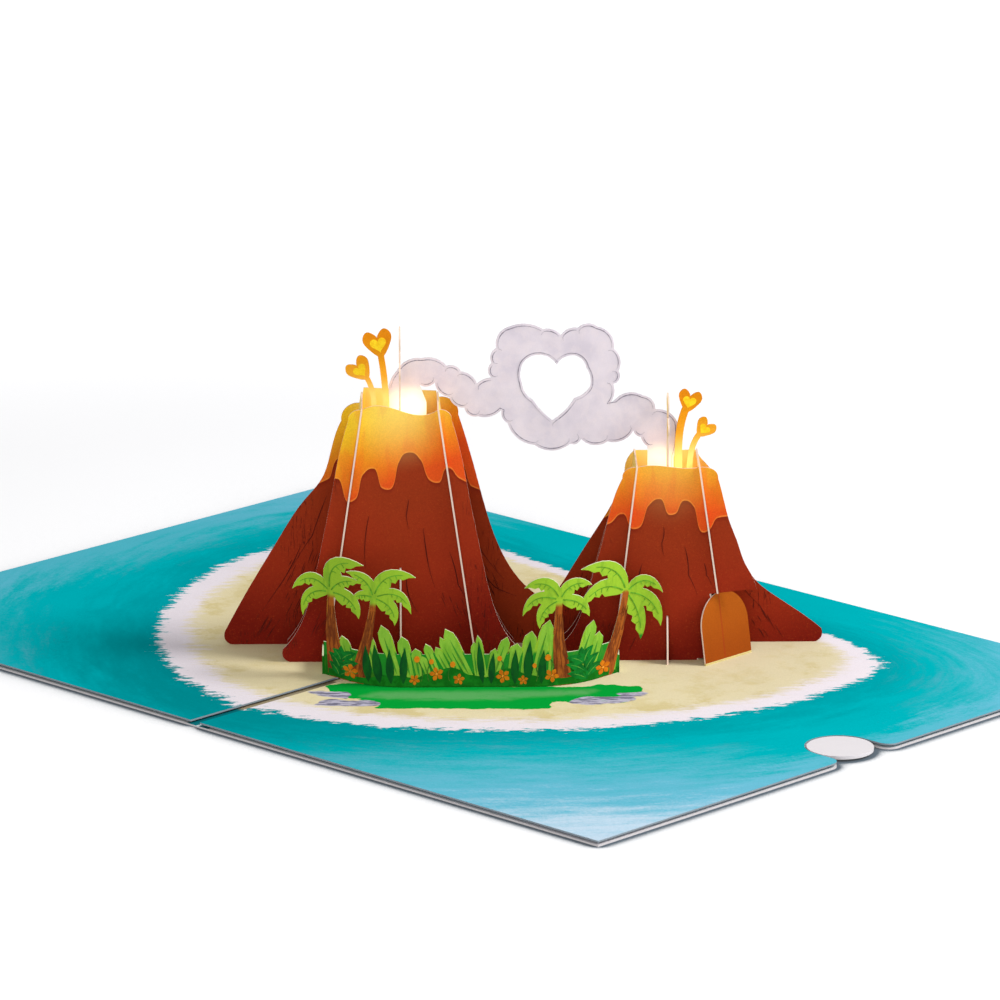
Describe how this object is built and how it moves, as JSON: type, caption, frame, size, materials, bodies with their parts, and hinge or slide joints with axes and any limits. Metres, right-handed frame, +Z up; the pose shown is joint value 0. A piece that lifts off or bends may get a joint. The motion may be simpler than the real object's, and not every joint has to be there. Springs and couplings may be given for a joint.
{
  "type": "pop up card",
  "caption": "Open pop up greeting card: slotted paper scene of two volcanoes joined by a heart of smoke, with palms, and a message slip that pulls out of the edge.",
  "frame": {"origin": "centre of the underside of the open card, at the middle of the fold", "axes": "+X across the fold towards the edge with the pull disc, +Y along the fold, +Z up"},
  "size_m": [0.254, 0.178, 0.0821],
  "materials": {
    "cover_board": "matt print on white board",
    "sea_print": "matt print on paper",
    "white_board": "uncoated",
    "slip_paper": "uncoated",
    "rock_print": "matt print on paper",
    "smoke_print": "matt print on paper",
    "lava_print": "matt print on paper",
    "planting_print": "matt print on paper",
    "flap_print": "matt print on paper",
    "lamp_plastic": "translucent",
    "cell_steel": "satin",
    "clip_plastic": "matt"
  },
  "bodies": {
    "card": {"cover": "cover_board", "liner_left": "sea_print", "liner_right": "sea_print", "backing_left": "white_board", "pocket_frame": "white_board", "smoke_heart": "smoke_print", "left_lava_hearts": "lava_print", "right_lava_hearts": "lava_print", "planting_strip": "planting_print", "left_strip_tie": "planting_print", "right_strip_tie": "planting_print", "left_anchor_flap": "flap_print", "right_anchor_flap": "flap_print", "left_front_slice": "rock_print", "left_middle_slice": "rock_print", "left_centre_web": "rock_print", "left_lamp": "lamp_plastic", "left_button_cells": "cell_steel", "left_lamp_clip": "clip_plastic", "right_front_slice": "rock_print", "right_middle_slice": "rock_print", "right_centre_web": "rock_print", "right_lamp": "lamp_plastic", "right_button_cells": "cell_steel", "right_lamp_clip": "clip_plastic", "twin_back_slice": "rock_print", "left_outer_rib": "rock_print", "left_inner_rib": "rock_print", "right_inner_rib": "rock_print", "right_outer_rib": "rock_print"},
    "slip": {"message_slip": "slip_paper", "pull_disc": "slip_paper"}
  },
  "joints": [
    {"name": "slip_pull", "type": "slide", "parent": "card", "child": "slip", "axis": [1, 0, 0], "range_m": [0, 0.08]}
  ]
}
